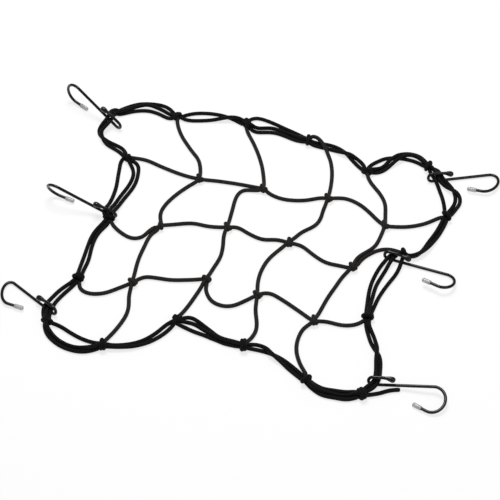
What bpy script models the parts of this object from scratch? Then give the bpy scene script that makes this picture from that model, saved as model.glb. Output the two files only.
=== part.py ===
"""Cargo net: a knotted net of elastic cord, doubled and tripled round its border, with six wire hooks.

It lies flat and slack on a floor. X runs along the net's length, Y across it and Z is up. Tables are in
millimetres, with the origin under the middle of the whole thing, hooks included. A third value in a route's
point is its layer: 0 lies on the floor, 1 lies on top of a cord or a hook's wire.
"""
import math
from collections import namedtuple

import bmesh
import bpy
from mathutils import Vector

MM = 0.001

# Driving dimensions, in millimetres
CORD_D = 4.0                                   # elastic cord
CORD_SIDES = 6                                 # sides of a cord's section, one of them flat on the floor
CORD_R = CORD_D / 2 * 1.05                     # corner radius that gives the section the round cord's girth
FLOOR_Z = CORD_R * math.cos(math.pi / CORD_SIDES)    # height of a cord's middle when it lies on the floor
LAYER = 3.7                                    # height from one layer to the next
RING_STEP = 13.0                               # distance between two rings of a cord's skin
KNOT_RISE = 2.4                                # how far a knot lifts the cords in it
KNOT_SLOT = 2.0                                # how far from a knot's middle its outer cords pass
WRAP_SIDES = 10                                # sides of a knot's wrap
WRAP_W = 3.6                                   # width of one turn of a wrap

WIRE_D = 3.0                                   # hook wire with its coating
EYE_R = 4.6                                    # bend round the border
RETURN_SAG = 3.5                               # how far the return leg bends back to the shank at its end
CAP_LEN = 10.5
CAP_D = 5.8
LEG_LEN = 10.5                                 # bare wire from the open end to the tip
TIP_LEN = 9.8
TIP_D = 4.6
GAP = 0.3                                      # between two pieces that meet

ORIGIN_X, ORIGIN_Y = -4.8, -7.7                # middle of the whole thing, in the tables' millimetres

# A knot's wrap is a ring of cord round the cords that it ties. Turn is the heading of its long axis in
# plan, half is half that axis, rise is half its height and wraps the number of turns side by side.
Knot = namedtuple("Knot", "x y turn half rise wraps")
KNOTS = {
    "I11": Knot(-75.9, 67.6, -52, 4.4, 2.4, 1.5),
    "I12": Knot(-4.9, 71.9, -48, 4.4, 2.4, 1.5),
    "I13": Knot(66.3, 77.5, -42, 4.6, 2.4, 1.5),
    "I14": Knot(134.0, 56.6, -55, 4.6, 2.4, 1.5),
    "I21": Knot(-97.3, -7.6, -80, 4.2, 2.4, 1.5),
    "I22": Knot(-27.8, 9.6, -45, 4.6, 2.4, 1.5),
    "I23": Knot(41.3, 6.3, -74, 4.8, 2.4, 1.5),
    "I24": Knot(113.7, -8.2, -42, 4.4, 2.4, 1.5),
    "I31": Knot(-103.1, -88.6, -21, 4.4, 2.4, 1.5),
    "I32": Knot(-29.7, -64.6, -25, 4.2, 2.4, 1.5),
    "I33": Knot(27.0, -70.3, -25, 4.4, 2.4, 1.5),
    "I34": Knot(91.9, -87.0, -65, 5.0, 2.4, 1.5),
    "T1": Knot(-125.2, 148.8, 74, 4.6, 3.2, 1.5),
    "T2": Knot(-46.9, 158.6, -40, 5.4, 3.4, 2),
    "T3": Knot(25.2, 152.6, -75, 5.6, 3.4, 2),
    "T4": Knot(98.6, 124.4, 18, 5.0, 3.4, 1.5),
    "T5": Knot(161.4, 150.0, 81, 5.6, 3.4, 1.5),
    "R1": Knot(195.0, 85.0, -31, 5.4, 3.4, 1),
    "R2": Knot(161.4, 23.8, -48, 3.8, 3.2, 1),
    "R3": Knot(144.0, -68.6, 14, 5.2, 3.4, 1.5),
    "B5": Knot(160.0, -164.2, -45, 5.4, 3.4, 2),
    "B4": Knot(102.8, -162.2, 61, 5.4, 3.4, 1),
    "B3": Knot(30.6, -137.4, -66, 5.6, 3.4, 2),
    "B2": Knot(-45.0, -125.4, 88, 5.4, 3.4, 2),
    "B1": Knot(-107.8, -174.2, -70, 5.6, 3.4, 1.5),
    "B0": Knot(-171.8, -161.6, 8, 5.2, 3.4, 1.5),
    "L3": Knot(-159.2, -98.4, 0, 5.2, 3.4, 1.5),
    "L2": Knot(-153.6, -14.0, 8, 5.2, 3.4, 1.5),
    "L1": Knot(-161.6, 76.2, -42, 5.4, 3.4, 2),
    "A0": Knot(-195.4, 135.6, 40, 5.0, 3.4, 1),
}

# The seven cords of the mesh, from border to border. A name stands for the knot that the cord runs through.
MESH_CORDS = {
    "row_1": [
        (-154.6, 78.2), (-140, 79.1), (-120, 74.0), (-98, 69.4), "I11", (-60, 70), (-40, 71.8), (-20, 72.6),
        "I12", (6, 66.6), (21.7, 64.2), (41.7, 68.3), (57, 76), "I13", (83.3, 82.9), (100, 79.2),
        (114, 70.6), (123.5, 63), "I14", (145, 58.1), (160, 62.5), (175, 70.9), (184.4, 80.3), (187.3, 84)],
    "row_2": [
        (-147.9, -18.3), (-141.7, -23.3), (-130, -29.4), (-120, -31.2), (-111, -26.4), (-106.0, -19.4, 0.9),
        "I21", (-83.3, -0.8), (-65, 5.8), (-48.3, 6), "I22", (-17, 12.9), (-4.2, 7.9), (12.5, 3.75),
        (28, 7.6), "I23", (55, 6.25), (70, -2.3), (85, -8.9), (100, -9.2), "I24", (120.8, 6.7),
        (128.6, 16.6), (138.3, 24), (148, 26.4), (153.4, 26.0)],
    "row_3": [
        (-155.8, -107.2), (-150.8, -112.1), (-140.8, -113.75), (-127, -109), (-114.2, -98.3), "I31",
        (-94, -78), (-81.7, -75.7), (-65, -74.2), (-45.8, -68.75), "I32", (-27.4, -76), (-18.3, -88.75),
        (-6, -92.9), (6, -90), (16, -81), "I33", (38, -63.9), (51.7, -68.2), (68.3, -75.8), (80, -81.6),
        "I34", (104, -84.2), (120.8, -84.6), (133, -80.8), (139.6, -75.4)],
    "column_1": [
        (-121.8, 138.6), (-112.2, 123.3), (-96.9, 106.6), (-83, 92), "I11", (-84, 55.8), (-94, 39.6),
        (-101, 23), (-102.6, 9), "I21", (-103.9, -20), (-105.8, -40), (-106.3, -60), "I31",
        (-101.6, -105), (-97.5, -119), (-96.7, -131.7), (-100.8, -150), (-105, -159), (-107.2, -163.4)],
    "column_2": [
        (-43.6, 149.0), (-32.8, 134.6), (-20.8, 115.6), (-11.5, 96), "I12", (-16, 67.6), (-26, 64.9),
        (-30.2, 54), (-29.4, 36), "I22", (-28.6, -1), (-25.2, -17), (-24, -31.7), (-27.1, -48.3), "I32",
        (-34.6, -86.7), (-37.9, -100.8), (-41, -113), (-41.6, -115.2)],
    "column_3": [
        (29.6, 159.4, 0.8), (36.6, 155.8, 1.35), (43.0, 149.4, 1.5), (47.6, 144.2, 0.9), (52, 138.2),
        (56.8, 129.6), (61.7, 115), (64.8, 98), "I13", (65.2, 60), (65.4, 48), (61.6, 36.5),
        (50, 23.75), "I23", (34.2, -4), (26, -20), (22.5, -37), (23, -53), "I33", (30, -88.4),
        (35.4, -103.3), (37.7, -115), (36, -123.6), (34.6, -126.8)],
    "column_4": [
        (102.2, 116.8), (108, 110), (120, 98.2), (127.6, 86.6), (131.4, 71), "I14", (133.2, 43),
        (130.6, 27), (124.0, 16.0), (117.0, 7.0), "I24", (107, -22), (102.9, -36.7), (98, -55.4),
        "I34", (83.8, -99), (81.6, -115), (84.2, -129.4), (91.0, -142.4), (95.6, -148.2, 0.2),
        (98.3, -152.0, 1.0)],
}

# The cords of the border, from knot to knot. Side is where a cord passes through each end's knot: -1 or 1
# along the knot's long axis, or 0 on top.
Run = namedtuple("Run", "start side_a route end side_b")
BORDER_RUNS = [
    # Top edge
    Run("A0", 1, [(-190, 145.2), (-183.7, 152.0), (-170.7, 159.8), (-150, 162.8), (-136, 159.4)], "T1", -1),
    Run("A0", 0, [(-187, 141.4, 0.9), (-176.5, 150.4, 0.8), (-163, 157.4, 0.7), (-146, 157.0),
                  (-136, 152.8)], "T1", 0),
    Run("A0", -1, [(-187, 138.4), (-176, 146.6), (-160, 151.4), (-145, 148.8), (-134, 145.2)], "T1", 1),
    Run("T1", -1, [(-113, 158.2), (-98, 163.8), (-82, 165.8), (-69, 164.6), (-58, 161.6)], "T2", 1),
    Run("T1", 1, [(-114, 148.4), (-102, 150.8), (-88, 155.4), (-78, 158.6, 0.6), (-69, 161.8, 1.0),
                  (-58, 163.4, 0.7)], "T2", -1),
    Run("T2", -1, [(-44, 170.0), (-35, 172.4), (-20, 169.6), (-4, 164.8), (12, 160.2)], "T3", -1),
    Run("T2", 0, [(-37, 158.0), (-28, 162.0), (-19, 163.4), (-6, 160.4), (6, 156.2, 0.4),
                  (14, 153.6, 0.8)], "T3", 0),
    Run("T2", 1, [(-36, 150.4), (-26, 152.6), (-16, 155.8), (-5, 154.9), (8, 151.6), (16, 150.8)],
        "T3", 1),
    Run("T3", -1, [(33, 153.0), (42, 153.9), (52, 153.8), (60, 152.0), (69, 147.6), (78, 141.2),
                   (88, 133.2)], "T4", 1),
    Run("T3", 1, [(33, 148.6), (46, 148.2), (58, 147.2), (66, 144.8, 0.7), (73, 143.4, 0.9),
                  (82, 141.6, 0.4), (91, 137.0)], "T4", -1),
    Run("T4", -1, [(99.6, 136), (105.8, 143.6), (114, 151.2), (126, 155.0), (138.3, 155.8),
                   (150, 154.0)], "T5", -1),
    Run("T4", 1, [(108, 127.0), (115, 130.6), (120.6, 139.6), (125, 147, 0.8), (129.6, 154.6, 1.0),
                  (137, 160.4, 0.5), (148, 161.2)], "T5", 0),
    Run("T4", 0, [(105, 131.6), (112, 136.2), (116, 144.4), (119.6, 150.6, 0.7), (124.4, 156.2, 0.9),
                  (132, 164.4), (142, 165.6), (152, 162.2)], "T5", 1),
    # Round the corner and down the right edge
    Run("T5", 1, [(166.2, 141.6, 0.3), (169.4, 137.6, 0.8), (171.2, 133.8, 1.05), (176.2, 127.9, 0.7),
                  (179.8, 121.8), (185.2, 111.8), (190, 100)], "R1", -1),
    Run("T5", 0, [(169.4, 146, 0.6), (174.2, 140.6, 1.0), (176.4, 136.0, 1.05), (181.4, 130.4, 0.6),
                  (188, 124.4, 0.5), (195, 121.6, 0.9), (202.6, 118.6, 0.4), (206.4, 109), (202.4, 98)],
        "R1", 1),
    Run("T5", -1, [(171.4, 150), (178.0, 144.6, 0.7), (181.4, 138.2, 1.05), (187, 134.2, 0.6),
                   (192, 130.2), (197, 121.8), (200.2, 112), (199.4, 102.6)], "R1", 0),
    Run("R1", -1, [(191.6, 74), (188.2, 60), (183.6, 46), (179.6, 32.4, 0.5), (172.0, 22.4, 1.0)], "R2", -1),
    Run("R1", 1, [(195.2, 74), (192.6, 60), (187.9, 45.0), (182.4, 32.2), (175.6, 24.0), (169, 20.6)],
        "R2", 1),
    Run("R2", -1, [(154.2, 20.6, 1.0), (148.0, 14.6, 1.0), (146.6, 9.6, 0.9), (143.0, 3.6, 0.2),
                   (139.8, -8), (137.9, -22), (137.9, -34), (139.0, -45), (140.4, -56)], "R3", -1),
    Run("R2", 0, [(155.4, 17.6, 1.0), (152.3, 12.4, 1.0), (150.6, 7.4, 0.8), (148.8, 0), (146.0, -12),
                  (143.4, -24), (142.9, -34), (143.3, -44, 0.4), (143.5, -55, 1.0)], "R3", 0),
    Run("R2", 1, [(162.4, 16.6, 0.95), (162.2, 10.6, 0.95), (161.6, 3.6, 0.2), (159.6, -6), (155.4, -18),
                  (151.6, -30), (148.8, -42), (147.2, -55)], "R3", 1),
    Run("R3", -1, [(145.6, -79.5), (149.4, -88), (154.2, -98), (160.5, -105.8), (166.6, -112.6),
                   (170.2, -122), (172.0, -132), (173.2, -140, 0.8), (172.8, -146.7, 1.1),
                   (170.4, -152.4, 0.6)], "B5", 0),
    Run("R3", 1, [(147.4, -79.9, 0.9), (154.0, -87.8), (160.2, -96.6, 0.3), (164.0, -107.8, 1.0),
                  (164.0, -117.6, 0.3), (166.6, -127), (168.1, -136.6, 0.5), (168.3, -147.6, 1.1),
                  (165.6, -153.0, 0.7)], "B5", -1),
    # Bottom edge, with the loose end of the border cord
    Run("B5", 1, [(168.5, -162.6), (177, -156.9), (185.5, -150.9), (195.6, -147.2)], None, 0),
    Run("B5", -1, [(152, -160.6), (143, -163.5), (131, -166.0), (121, -166.6), (111, -163.6)], "B4", 1),
    Run("B5", 0, [(152.6, -166.0), (143, -168.6), (131, -170.4), (122, -171.0, 0.5), (112, -169.2, 0.8)],
        "B4", 0),
    Run("B5", 1, [(155.6, -171.0), (146, -174.0), (134, -174.8), (122, -173.6, 0.0), (112, -169.6)],
        "B4", -1),
    Run("B4", 1, [(94, -153.8), (84, -148.0), (74, -143.0), (64, -139.6), (54, -137.4), (42, -137.8)],
        "B3", 1),
    Run("B4", -1, [(92, -158.0), (81, -151.6), (71, -145.2, 0.4), (62, -141.4, 1.0), (53, -135.3, 0.5),
                   (43, -131.4)], "B3", -1),
    Run("B3", -1, [(19, -133.6), (8, -133.8), (-1, -131.6), (-12, -125.2), (-23, -118.8), (-33, -115.8)],
        "B2", 1),
    Run("B3", 0, [(18, -136.6, 0.6), (6, -136.0, 0.7), (-6, -131.4, 0.2), (-16, -126.8), (-28, -122.7)],
        "B2", 0),
    Run("B3", 1, [(20, -138.4), (11, -138.4), (2, -136.0), (-10, -134.0), (-22, -132.7), (-33, -130.1)],
        "B2", -1),
    Run("B2", 1, [(-53, -131.4), (-59.6, -143.6), (-69.4, -156.2), (-82, -165.0), (-96, -170.4)],
        "B1", -1),
    Run("B2", -1, [(-47.4, -134.4), (-54, -146.0), (-63.4, -156.8), (-76, -166.4, 0.3), (-89, -171.6, 0.5),
                   (-99, -174.2, 0.5)], "B1", 1),
    Run("B1", -1, [(-118, -173.0), (-131, -171.4), (-145, -167.0), (-158, -161.8)], "B0", 1),
    Run("B1", 0, [(-117, -177.6), (-126, -182.2), (-137, -183.2), (-150, -179.8), (-162, -173.0)],
        "B0", 0),
    Run("B1", 1, [(-116, -182.6), (-126, -187.2), (-137, -187.8), (-151, -185.0), (-164, -177.6),
                  (-173, -168.4)], "B0", -1),
    # Up the left edge
    Run("B0", -1, [(-178.8, -152, 0.5), (-179.4, -143.6, 1.05), (-178.0, -135.4, 0.6), (-175.9, -124.4),
                   (-170.7, -113.4), (-164.6, -105)], "L3", -1),
    Run("B0", 1, [(-172.4, -153, 0.5), (-173.4, -146.6, 1.05), (-172.8, -138.6, 0.6), (-169.9, -127.0),
                  (-165.3, -116.6), (-161.2, -108)], "L3", 1),
    Run("L3", -1, [(-162.4, -86), (-162.8, -72), (-163.6, -56), (-164.0, -42), (-162, -30),
                   (-158.9, -22)], "L2", -1),
    Run("L3", 1, [(-157.6, -86), (-156.9, -72), (-159.0, -56), (-159.6, -42), (-157.4, -30),
                  (-153.6, -22)], "L2", 1),
    Run("L2", -1, [(-159.8, -11.0, 1.9), (-159.6, -7.2, 2.2), (-159.4, -2.0, 1.9), (-159.2, 5, 0.5),
                   (-158.6, 17), (-159.4, 33), (-162.6, 48), (-165.6, 62), (-167.4, 69)], "L1", -1),
    Run("L2", 0, [(-154.9, -10.2, 1.6), (-155.0, -6.2, 1.6), (-154.6, 1, 1.1), (-153.8, 8, 0.2),
                  (-152.2, 19), (-149.2, 31), (-146.8, 44), (-147.6, 57), (-153.4, 67)], "L1", 0),
    Run("L2", 1, [(-151.5, -10.6, 1.15), (-151.2, -6.4, 1.15), (-150.2, 0, 0.7), (-149.0, 8, 0.1),
                  (-146.7, 19), (-143.4, 31), (-141.4, 44), (-143.0, 59), (-147.4, 70.6)], "L1", 1),
    Run("L1", -1, [(-170, 87.8), (-180, 91.6), (-191, 94.4), (-200.4, 100.4), (-204.6, 108, 0.3),
                   (-200.0, 115.0, 2.1), (-197.2, 121.8, 2.76), (-197.8, 128.8, 2.3)], "A0", 1),
    Run("L1", 1, [(-171, 82.4), (-181, 86.4), (-190, 90.2), (-197.0, 97.2, 0.8), (-200.4, 105.6, 1.0),
                  (-196.6, 112.8, 1.6), (-193.6, 119.8, 2.2), (-193.2, 127.6, 1.6)], "A0", 0),
]

# X and y are where a hook's shank leaves its eye, heading is the shank's, shank its length and side which
# way the open end turns. Roll is how far the open end hangs below the shank, rise how high the shank's far
# end stands, lag how far the open end is bent back, tilt how far the eye leans up from the floor and jaw how
# wide the open end is, wire to wire. Depth is how far it bulges past the shank, lean how far its leg turns in
# and back the length of the return leg with its cap. The six were bent by hand and differ a little.
Hook = namedtuple("Hook", "x y heading shank side roll rise lag tilt jaw depth lean back")
HOOKS = {
    "a": Hook(-187.7, 117.8, 155.8, 59.3, 1, 88.0, 25.8, 2.0, 80, 24.9, 12.0, 20, 25.4),
    "b": Hook(-170.8, -147.8, 153.0, 57.1, 1, -4.0, 0.0, 11.9, 80, 24.0, 10.0, 22, 22.8),
    "c": Hook(168.3, -148.1, 8.6, 60.6, -1, 10.0, 6.2, 1.0, 72, 28.0, 12.8, 24, 22.0),
    "d": Hook(170.1, 132.3, 23.6, 62.4, -1, -7.0, 0.0, 8.3, 72, 25.4, 12.3, 22, 22.8),
    "e": Hook(-152.9, -7.1, 177.0, 63.4, 1, 109.0, 24.3, 2.0, 100, 24.0, 12.0, 20, 22.6),
    "f": Hook(147.6, 13.6, -4.0, 63.9, -1, -17.0, 0.0, 1.4, 76, 24.8, 11.4, 14, 23.6),
}


def material(name, colour, roughness, metallic=0.0, transmission=0.0):
    """Make a Principled material."""
    made = bpy.data.materials.new(name)
    made.use_nodes = True
    shader = made.node_tree.nodes["Principled BSDF"]
    shader.inputs["Base Color"].default_value = (*colour, 1)
    shader.inputs["Roughness"].default_value = roughness
    shader.inputs["Metallic"].default_value = metallic
    shader.inputs["Transmission Weight"].default_value = transmission
    made.diffuse_color = (*colour, 1)
    return made


def place(x, y, z):
    """Turn the tables' millimetres into metres from the part's origin."""
    return Vector(((x - ORIGIN_X) * MM, (y - ORIGIN_Y) * MM, z * MM))


def via(point, lift=0.0):
    """Place a route's point at the height of its layer."""
    layer = point[2] if len(point) > 2 else 0.0
    return place(point[0], point[1], FLOOR_Z + layer * LAYER + lift)


def knot_point(name, side=None):
    """The place where a cord passes through a knot: through its middle, beside it, or on top."""
    knot = KNOTS[name]
    turn = math.radians(knot.turn)
    across = 0.0 if side is None else side * KNOT_SLOT
    lift = KNOT_RISE + (2 * knot.rise - 2 * KNOT_RISE if side == 0 else 0.0)
    return place(knot.x + across * math.cos(turn), knot.y + across * math.sin(turn), FLOOR_Z + lift)


def smooth(points, step):
    """Read points from the smooth curve through the given ones, about one step apart and off the floor."""
    padded = [2 * points[0] - points[1], *points, 2 * points[-1] - points[-2]]
    curve = [points[0]]
    for before, start, end, after in zip(padded, padded[1:], padded[2:], padded[3:]):
        pieces = max(1, round((end - start).length / (step * MM)))
        for i in range(1, pieces + 1):
            t = i / pieces
            curve.append(0.5 * (2 * start + (end - before) * t
                                + (2 * before - 5 * start + 4 * end - after) * t ** 2
                                + (3 * start - before - 3 * end + after) * t ** 3))
    for point in curve:
        point.z = max(point.z, FLOOR_Z * MM)
    return curve


def tube(name, points, radius, sides, collection, closed=False, upright=False, swell=None):
    """A round bar along points: a curve with a bevel, which keeps a flat side down where it is upright."""
    curve = bpy.data.curves.new(name, "CURVE")
    curve.dimensions = "3D"
    curve.bevel_depth = radius * MM
    curve.bevel_resolution = sides // 2 - 2
    curve.use_fill_caps = not closed
    curve.twist_mode = "Z_UP" if upright else "MINIMUM"
    spline = curve.splines.new("POLY")
    spline.points.add(len(points) - 1)
    spline.use_cyclic_u = closed
    for i, point in enumerate(points):
        spline.points[i].co = (*point, 1)
        spline.points[i].radius = swell[i] if swell else 1.0
    made = bpy.data.objects.new(name, curve)
    collection.objects.link(made)
    return made


def wrap(name, collection):
    """The wrap of a knot: an oval bead round the cords that pass through it, waisted between its turns."""
    knot = KNOTS[name]
    turns = math.ceil(knot.wraps)
    width = WRAP_W * knot.wraps / turns
    offsets, swell = [], []
    for i in range(turns):
        middle = (i - (turns - 1) / 2) * width
        offsets += [middle - 0.5 * width, middle - 0.26 * width, middle + 0.26 * width]
        swell += [0.8, 1.0, 1.0]
    offsets.append(offsets[-1] + 0.24 * width)
    swell.append(0.8)
    tall = knot.rise + CORD_R
    points = [Vector((0, offset * MM, 0)) for offset in offsets]
    bead = tube("wrap_" + name, points, 1.0, WRAP_SIDES, collection, upright=True, swell=swell)
    bead.scale = (knot.half + CORD_R, 1, tall)
    bead.rotation_euler = (0, 0, math.radians(knot.turn))
    bead.location = place(knot.x, knot.y, tall * math.cos(math.pi / WRAP_SIDES) + 0.05)
    return bead


def as_mesh(source, collection):
    """Turn a curve object into a welded mesh object of its name, and remove the curve."""
    bpy.context.view_layer.update()
    mesh = bpy.data.meshes.new_from_object(source.evaluated_get(bpy.context.evaluated_depsgraph_get()))
    mesh.transform(source.matrix_world)
    cage = bmesh.new()
    cage.from_mesh(mesh)
    bmesh.ops.remove_doubles(cage, verts=cage.verts, dist=0.01 * MM)
    bmesh.ops.recalc_face_normals(cage, faces=cage.faces)
    cage.to_mesh(mesh)
    cage.free()
    name = source.name
    bpy.data.objects.remove(source)
    made = bpy.data.objects.new(name, mesh)
    collection.objects.link(made)
    return made


def joined(name, curves, collection):
    """Put the bars of a list into one mesh object, still as separate bodies."""
    cage = bmesh.new()
    for bar in [as_mesh(curve, collection) for curve in curves]:
        cage.from_mesh(bar.data)
        bpy.data.objects.remove(bar)
    mesh = bpy.data.meshes.new(name)
    cage.to_mesh(mesh)
    cage.free()
    made = bpy.data.objects.new(name, mesh)
    collection.objects.link(made)
    return made


def fused(name, cords, wraps, finish, collection, cutters):
    """Fuse cords and the wraps of their knots into one closed body."""
    net = joined(name, cords, collection)
    knots = joined(name + "_wraps", wraps, cutters)
    knots.hide_render = True
    knots.display_type = "WIRE"
    union = net.modifiers.new("knots", "BOOLEAN")
    union.operation = "UNION"
    union.solver = "EXACT"
    union.use_self = True
    union.object = knots
    net.data.materials.append(finish)
    return net


def make_mesh_cords(finish, collection, cutters):
    """The seven cords of the mesh, fused where they are knotted to each other."""
    cords = []
    for name, route in MESH_CORDS.items():
        stops = [knot_point(stop) if isinstance(stop, str) else via(stop) for stop in route]
        cords.append(tube(name, smooth(stops, RING_STEP), CORD_R, CORD_SIDES, collection, upright=True))
    wraps = [wrap(name, cutters) for name in KNOTS if name.startswith("I")]
    return fused("mesh_cords", cords, wraps, finish, collection, cutters)


def make_border_cords(finish, collection, cutters):
    """The cords of the border, fused at the knots that tie the mesh to them."""
    cords = []
    for index, run in enumerate(BORDER_RUNS):
        lift = 0.15 * (index % 2)
        stops = [knot_point(run.start, run.side_a)] + [via(point, lift) for point in run.route]
        if run.end:
            stops.append(knot_point(run.end, run.side_b))
        route = smooth(stops, RING_STEP)
        cords.append(tube(f"run_{index}", route, CORD_R, CORD_SIDES, collection, upright=True))
    wraps = [wrap(name, cutters) for name in KNOTS if not name.startswith("I")]
    return fused("border_cords", cords, wraps, finish, collection, cutters)


def hook_frame(hook):
    """The hook's own axes in the part: along its shank, to its left, and up from its shank."""
    heading = math.radians(hook.heading)
    pitch = math.asin(hook.rise / hook.shank)
    flat = Vector((math.cos(heading), math.sin(heading), 0))
    left = Vector((-flat.y, flat.x, 0))
    along = flat * math.cos(pitch) + Vector((0, 0, math.sin(pitch)))
    return along, left, along.cross(left)


def hook_point(hook, reach, spread, tilt, turned):
    """A point of a hook: how far along its shank, and how far from it at a tilt from the floor."""
    along, left, up = hook_frame(hook)
    tilt = math.radians(tilt)
    offset = left * (turned * spread * math.cos(tilt)) + up * (spread * math.sin(tilt))
    return place(hook.x, hook.y, WIRE_D / 2 + 0.05 + 0.016 * hook.rise) + (along * reach + offset) * MM


def make_hook(letter, hook, finishes, collection):
    """One hook: its bent wire, the clear tip on its open end and the dipped cap on its return leg."""
    def jaw(reach, spread):
        return hook_point(hook, reach, spread, -hook.roll, hook.side)

    def eye(reach, spread):
        return hook_point(hook, reach, spread, hook.tilt, -hook.side)

    lean = math.radians(hook.lean)
    bare = hook.back - CAP_LEN

    def leg(length):
        return jaw(hook.shank - hook.lag - length * math.cos(lean), hook.jaw - length * math.sin(lean))

    def returned(length):
        return eye(length, 2 * EYE_R - RETURN_SAG * (length / hook.back) ** 3)

    path = [leg(LEG_LEN), leg(LEG_LEN * 0.45)]
    for i in range(9):
        angle = math.pi * (1 - i / 8)
        back = (1 - math.cos(angle)) / 2
        path.append(jaw(hook.shank + hook.depth * math.sin(angle) - hook.lag * back, hook.jaw * back))
    path.append(jaw(0, 0))
    for i in range(1, 7):
        angle = math.pi * i / 6
        path.append(eye(-EYE_R * math.sin(angle), EYE_R * (1 - math.cos(angle))))
    path += [returned(bare * 0.5), returned(bare)]
    wire = as_mesh(tube(f"hook_{letter}", path, WIRE_D / 2, 8, collection), collection)
    wire.data.materials.append(finishes["wire"])
    tip_points = [leg(LEG_LEN + GAP + TIP_LEN * t) for t in (0, 0.85, 1)]
    shape = (0.95, 1, 0.7)
    tip = as_mesh(tube(f"tip_{letter}", tip_points, TIP_D / 2, 8, collection, swell=shape), collection)
    tip.data.materials.append(finishes["tip"])
    cap_points = [returned(bare + GAP + 0.1 + CAP_LEN * t) for t in (0, 0.3, 0.6, 0.88, 1)]
    shape = (0.58, 0.72, 0.95, 0.97, 0.5)
    cap = as_mesh(tube(f"cap_{letter}", cap_points, CAP_D / 2, 8, collection, swell=shape), collection)
    cap.data.materials.append(finishes["cap"])


def main():
    for old in list(bpy.data.objects):
        bpy.data.objects.remove(old)
    scene = bpy.context.scene.collection
    net = bpy.data.collections.new("cargo_net")
    cutters = bpy.data.collections.new("cutters")
    scene.children.link(net)
    scene.children.link(cutters)
    cord = material("elastic_cord", (0.016, 0.014, 0.014), 0.7)
    finishes = {
        "wire": material("coated_wire", (0.006, 0.006, 0.007), 0.22),
        "tip": material("clear_tip", (0.62, 0.63, 0.64), 0.3, transmission=0.5),
        "cap": material("dipped_cap", (0.012, 0.012, 0.013), 0.35),
    }
    make_mesh_cords(cord, net, cutters)
    make_border_cords(cord, net, cutters)
    for letter, hook in HOOKS.items():
        make_hook(letter, hook, finishes, net)


main()
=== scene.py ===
"""Cargo net: a knotted net of elastic cord with a doubled border and six coated wire hooks, lying slack.

Run as a script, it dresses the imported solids: the cords get their round braided sheath and their turns at
each knot, the hooks their bent wire, clear tips and dipped caps. Tables are in millimetres, in the plan that
the net lies in: X along the net, Y across it and Z up, with ORIGIN under the middle of the whole thing.
A third value in a route's point is its layer: 0 lies on the floor, 1 lies on top of a cord or a wire.
"""
import math
from collections import namedtuple

import bmesh
import bpy
import numpy as np
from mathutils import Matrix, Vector, kdtree


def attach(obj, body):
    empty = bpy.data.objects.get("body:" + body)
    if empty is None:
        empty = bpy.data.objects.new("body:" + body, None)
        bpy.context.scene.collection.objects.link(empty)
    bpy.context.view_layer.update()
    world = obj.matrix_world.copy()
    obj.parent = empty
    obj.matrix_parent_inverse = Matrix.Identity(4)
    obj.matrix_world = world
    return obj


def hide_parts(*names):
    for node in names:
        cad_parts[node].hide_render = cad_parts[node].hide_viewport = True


bl_info = {
    "name": "Cargo Net",
    "version": (1, 0, 0),
    "blender": (4, 5, 0),
    "location": "View3D > Sidebar > Cargo Net",
    "description": "Dresses a knotted cargo net of elastic cord with its six hooks",
    "category": "Add Mesh",
}

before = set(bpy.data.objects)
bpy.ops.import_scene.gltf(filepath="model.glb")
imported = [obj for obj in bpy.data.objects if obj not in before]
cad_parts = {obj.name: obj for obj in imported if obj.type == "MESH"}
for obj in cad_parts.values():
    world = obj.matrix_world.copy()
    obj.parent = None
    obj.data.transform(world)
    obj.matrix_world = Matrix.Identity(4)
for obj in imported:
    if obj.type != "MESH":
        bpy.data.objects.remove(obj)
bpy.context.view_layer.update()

MM = 0.001
ORIGIN = (-4.8, -7.7)           # middle of the whole thing, in the tables' millimetres
FLOOR_Z = 1.85                  # height of a cord's middle when it lies on the floor
LAYER = 3.7                     # height from one layer to the next
CURVE_PIECES = 24               # straight pieces of a route's curve between two stops

# How cords pass through a knot, and where they are free to move
KNOT_SLOT = 2.0                 # how far from a knot's middle its outer cords pass
KNOT_FADE = 6.5                 # how far from a knot's middle its lift falls off
ROW_LIFT = 0.9                  # lift of a row in the knots of the mesh
COLUMN_LIFT = 3.0               # lift of a column there, over the row
SIDE_LIFT = 1.6                 # lift of a border cord on either side of its knot
TOP_DROP = 1.4                  # how far under a knot's top its upper border cord passes
KNOT_HOLD = 5.0                 # how far from a knot's middle cords are held
KNOT_EASE = 6.0                 # how much further out they are quite free

# How slack cords settle on each other
ROUTE_ROUNDS = 12               # rounds that even out the routes before cords push each other
SETTLE_ROUNDS = 40              # rounds in which cords push each other apart
EVEN_SHARE = 0.35               # how far a point goes to the middle of its neighbours in a round
PUSH_SHARE = 0.25               # how much of an overlap a push takes away in a round
PUSH_UP = 1.6                   # how much more a push lifts than it shifts
LATER_OVER = 0.3                # how much a later cord is pushed over an earlier one
CORD_TOUCH = 0.97               # share of a cord's thickness at which two cords touch
CUT_END = 0.8                   # share of its girth that a cord keeps at a cut end
TINY = 1e-6                     # keeps a division from nothing

# The turns of a knot
TURN_PITCH = 2.8                # distance between two turns
TURN_POINTS = 30                # points along one turn
TURN_START = -0.65 * math.pi    # angle of the first point
TURN_IN = 0.5                   # how far inside a knot's half width the cord's middle runs
TURN_DOWN = 0.3                 # how far inside its half height
TURN_MORE = 1.1                 # turns of cord for each turn in the table
TURN_LESS = 0.2                 # what the tucked ends take off them
TUCK = 0.5                      # share of a turn's size that its tucked ends keep
TUCK_RATE = 5.0                 # how fast a turn grows from its ends

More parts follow.
